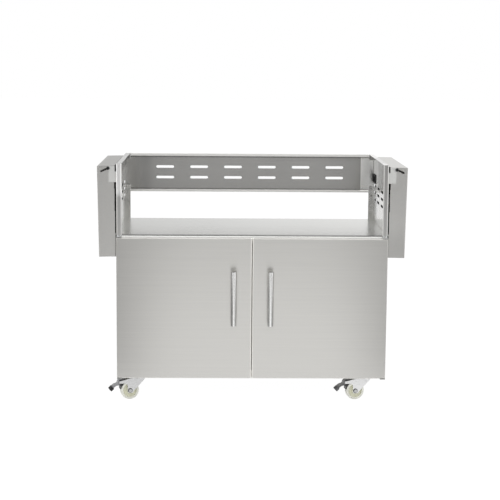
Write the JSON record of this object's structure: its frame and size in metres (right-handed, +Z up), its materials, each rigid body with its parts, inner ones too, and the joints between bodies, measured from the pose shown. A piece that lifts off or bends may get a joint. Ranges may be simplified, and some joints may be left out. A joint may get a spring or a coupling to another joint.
{
  "type": "grill cart",
  "caption": "Open-bay grill cart on swivel casters with a slotted rear rail, a two-door cupboard with bar handles and fold-down side shelves.",
  "frame": {"origin": "on the floor, midway across the cart and midway between the handles and the back", "axes": "+X to the right as seen from the front, +Y to the back, +Z up; the doors face -Y"},
  "size_m": [1.2002, 0.61, 0.939],
  "materials": {
    "stainless": "fine horizontal brushed grain",
    "handle_steel": "satin, polished along the bar",
    "zinc": "bright zinc plate",
    "dark_steel": "black oxide, satin",
    "black_plastic": "matt moulded",
    "pedal_black": "semi-gloss black",
    "rubber": "matt",
    "nylon": "cream moulded nylon, slightly translucent"
  },
  "bodies": {
    "cart": {"left_side_panel": "stainless", "right_side_panel": "stainless", "hose_grommet": "rubber", "floor_panel": "stainless", "back_panel": "stainless", "grill_deck": "stainless", "front_rail": "stainless", "rear_rail": "stainless", "door_catches": "black_plastic", "left_hinge_brackets": "stainless", "left_hinge_pins": "zinc", "left_shelf_brackets": "stainless", "left_shelf_pivots": "dark_steel", "left_shelf_stops": "rubber", "right_hinge_brackets": "stainless", "right_hinge_pins": "zinc", "right_shelf_brackets": "stainless", "right_shelf_pivots": "dark_steel", "right_shelf_stops": "rubber", "front_left_caster_plate": "zinc", "front_right_caster_plate": "zinc", "rear_left_caster_plate": "zinc", "rear_right_caster_plate": "zinc", "caster_bolts": "zinc"},
    "left_door": {"left_door_skin": "stainless", "left_door_liner": "stainless", "left_handle_bar": "handle_steel", "left_handle_posts": "handle_steel", "left_handle_screws": "zinc", "left_hinge_bushes": "black_plastic", "left_catch_strike": "zinc"},
    "right_door": {"right_door_skin": "stainless", "right_door_liner": "stainless", "right_handle_bar": "handle_steel", "right_handle_posts": "handle_steel", "right_handle_screws": "zinc", "right_hinge_bushes": "black_plastic", "right_catch_strike": "zinc"},
    "left_shelf": {"left_shelf_tray": "stainless", "left_shelf_stiffener": "stainless"},
    "right_shelf": {"right_shelf_tray": "stainless", "right_shelf_stiffener": "stainless"},
    "front_left_swivel": {"front_left_caster_fork": "zinc", "front_left_caster_axle": "zinc", "front_left_brake_pin": "zinc"},
    "front_left_wheel": {"front_left_caster_wheel": "nylon"},
    "front_left_pedal": {"front_left_brake_pedal": "pedal_black"},
    "front_right_swivel": {"front_right_caster_fork": "zinc", "front_right_caster_axle": "zinc", "front_right_brake_pin": "zinc"},
    "front_right_wheel": {"front_right_caster_wheel": "nylon"},
    "front_right_pedal": {"front_right_brake_pedal": "pedal_black"},
    "rear_left_swivel": {"rear_left_caster_fork": "zinc", "rear_left_caster_axle": "zinc"},
    "rear_left_wheel": {"rear_left_caster_wheel": "nylon"},
    "rear_right_swivel": {"rear_right_caster_fork": "zinc", "rear_right_caster_axle": "zinc"},
    "rear_right_wheel": {"rear_right_caster_wheel": "nylon"}
  },
  "joints": [
    {"name": "left_door_hinge", "type": "hinge", "parent": "cart", "child": "left_door", "pos_m": [-0.518, -0.249, 0.3785], "axis": [0, 0, -1], "range_deg": [0, 110]},
    {"name": "right_door_hinge", "type": "hinge", "parent": "cart", "child": "right_door", "pos_m": [0.518, -0.249, 0.3785], "axis": [0, 0, 1], "range_deg": [0, 110]},
    {"name": "left_shelf_fold", "type": "hinge", "parent": "cart", "child": "left_shelf", "pos_m": [-0.5565, 0.0355, 0.921], "axis": [0, 1, 0], "range_deg": [0, 91.02]},
    {"name": "right_shelf_fold", "type": "hinge", "parent": "cart", "child": "right_shelf", "pos_m": [0.5565, 0.0355, 0.921], "axis": [0, -1, 0], "range_deg": [0, 91.02]},
    {"name": "front_left_swivel_turn", "type": "hinge", "parent": "cart", "child": "front_left_swivel", "pos_m": [-0.448, -0.162, 0.09], "axis": [0, 0, 1], "continuous": true},
    {"name": "front_left_wheel_spin", "type": "hinge", "parent": "front_left_swivel", "child": "front_left_wheel", "pos_m": [-0.48181, -0.17106, 0.036], "axis": [-0.2588, 0.9659, 0], "continuous": true},
    {"name": "front_left_pedal_lift", "type": "hinge", "parent": "front_left_swivel", "child": "front_left_pedal", "pos_m": [-0.51367, -0.1796, 0.07004], "axis": [-0.2588, 0.9659, 0], "range_deg": [0, 20]},
    {"name": "front_right_swivel_turn", "type": "hinge", "parent": "cart", "child": "front_right_swivel", "pos_m": [0.448, -0.162, 0.09], "axis": [0, 0, 1], "continuous": true},
    {"name": "front_right_wheel_spin", "type": "hinge", "parent": "front_right_swivel", "child": "front_right_wheel", "pos_m": [0.41343, -0.16748, 0.036], "axis": [-0.1564, 0.9877, 0], "continuous": true},
    {"name": "front_right_pedal_lift", "type": "hinge", "parent": "front_right_swivel", "child": "front_right_pedal", "pos_m": [0.38085, -0.17264, 0.07004], "axis": [-0.1564, 0.9877, 0], "range_deg": [0, 20]},
    {"name": "rear_left_swivel_turn", "type": "hinge", "parent": "cart", "child": "rear_left_swivel", "pos_m": [-0.448, 0.233, 0.09], "axis": [0, 0, 1], "continuous": true},
    {"name": "rear_left_wheel_spin", "type": "hinge", "parent": "rear_left_swivel", "child": "rear_left_wheel", "pos_m": [-0.48181, 0.22394, 0.036], "axis": [-0.2588, 0.9659, 0], "continuous": true},
    {"name": "rear_right_swivel_turn", "type": "hinge", "parent": "cart", "child": "rear_right_swivel", "pos_m": [0.448, 0.233, 0.09], "axis": [0, 0, 1], "continuous": true},
    {"name": "rear_right_wheel_spin", "type": "hinge", "parent": "rear_right_swivel", "child": "rear_right_wheel", "pos_m": [0.41343, 0.22752, 0.036], "axis": [-0.1564, 0.9877, 0], "continuous": true}
  ]
}
